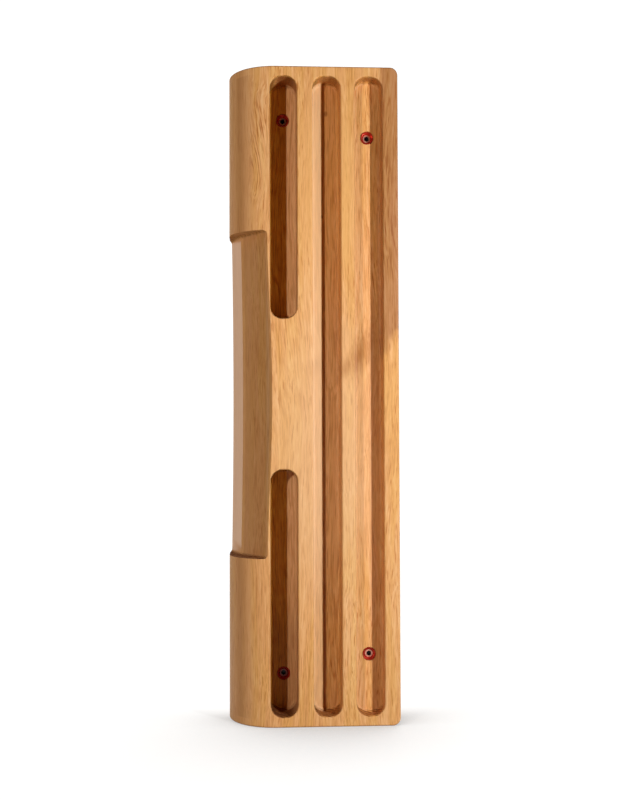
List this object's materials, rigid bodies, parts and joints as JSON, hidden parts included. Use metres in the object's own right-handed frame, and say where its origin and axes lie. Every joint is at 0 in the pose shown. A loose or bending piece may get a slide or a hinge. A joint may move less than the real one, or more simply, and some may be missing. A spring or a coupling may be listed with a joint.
{
  "type": "hangboard",
  "caption": "Solid oak climbing hangboard with a rounded top edge, a two-facet sloper, long finger slots, deep pockets and cup-washered fixing screws.",
  "frame": {"origin": "on the floor, under the middle of the board as it stands on one end", "axes": "+Z along the board, up as pictured; +Y from the front to the back that goes to the wall; +X from the edge that is uppermost in use to the edge that is lowest in use"},
  "size_m": [0.15, 0.058, 0.58],
  "materials": {
    "oak": "satin oiled oak, straight grain along the board",
    "red_aluminium": "turned and red anodised",
    "screw_steel": "bright steel"
  },
  "bodies": {
    "root": {"board": "oak", "upper_pocket_washer": "red_aluminium", "upper_pocket_screw": "screw_steel", "lower_pocket_washer": "red_aluminium", "lower_pocket_screw": "screw_steel", "upper_slot_washer": "red_aluminium", "upper_slot_screw": "screw_steel", "lower_slot_washer": "red_aluminium", "lower_slot_screw": "screw_steel"}
  },
  "joints": []
}
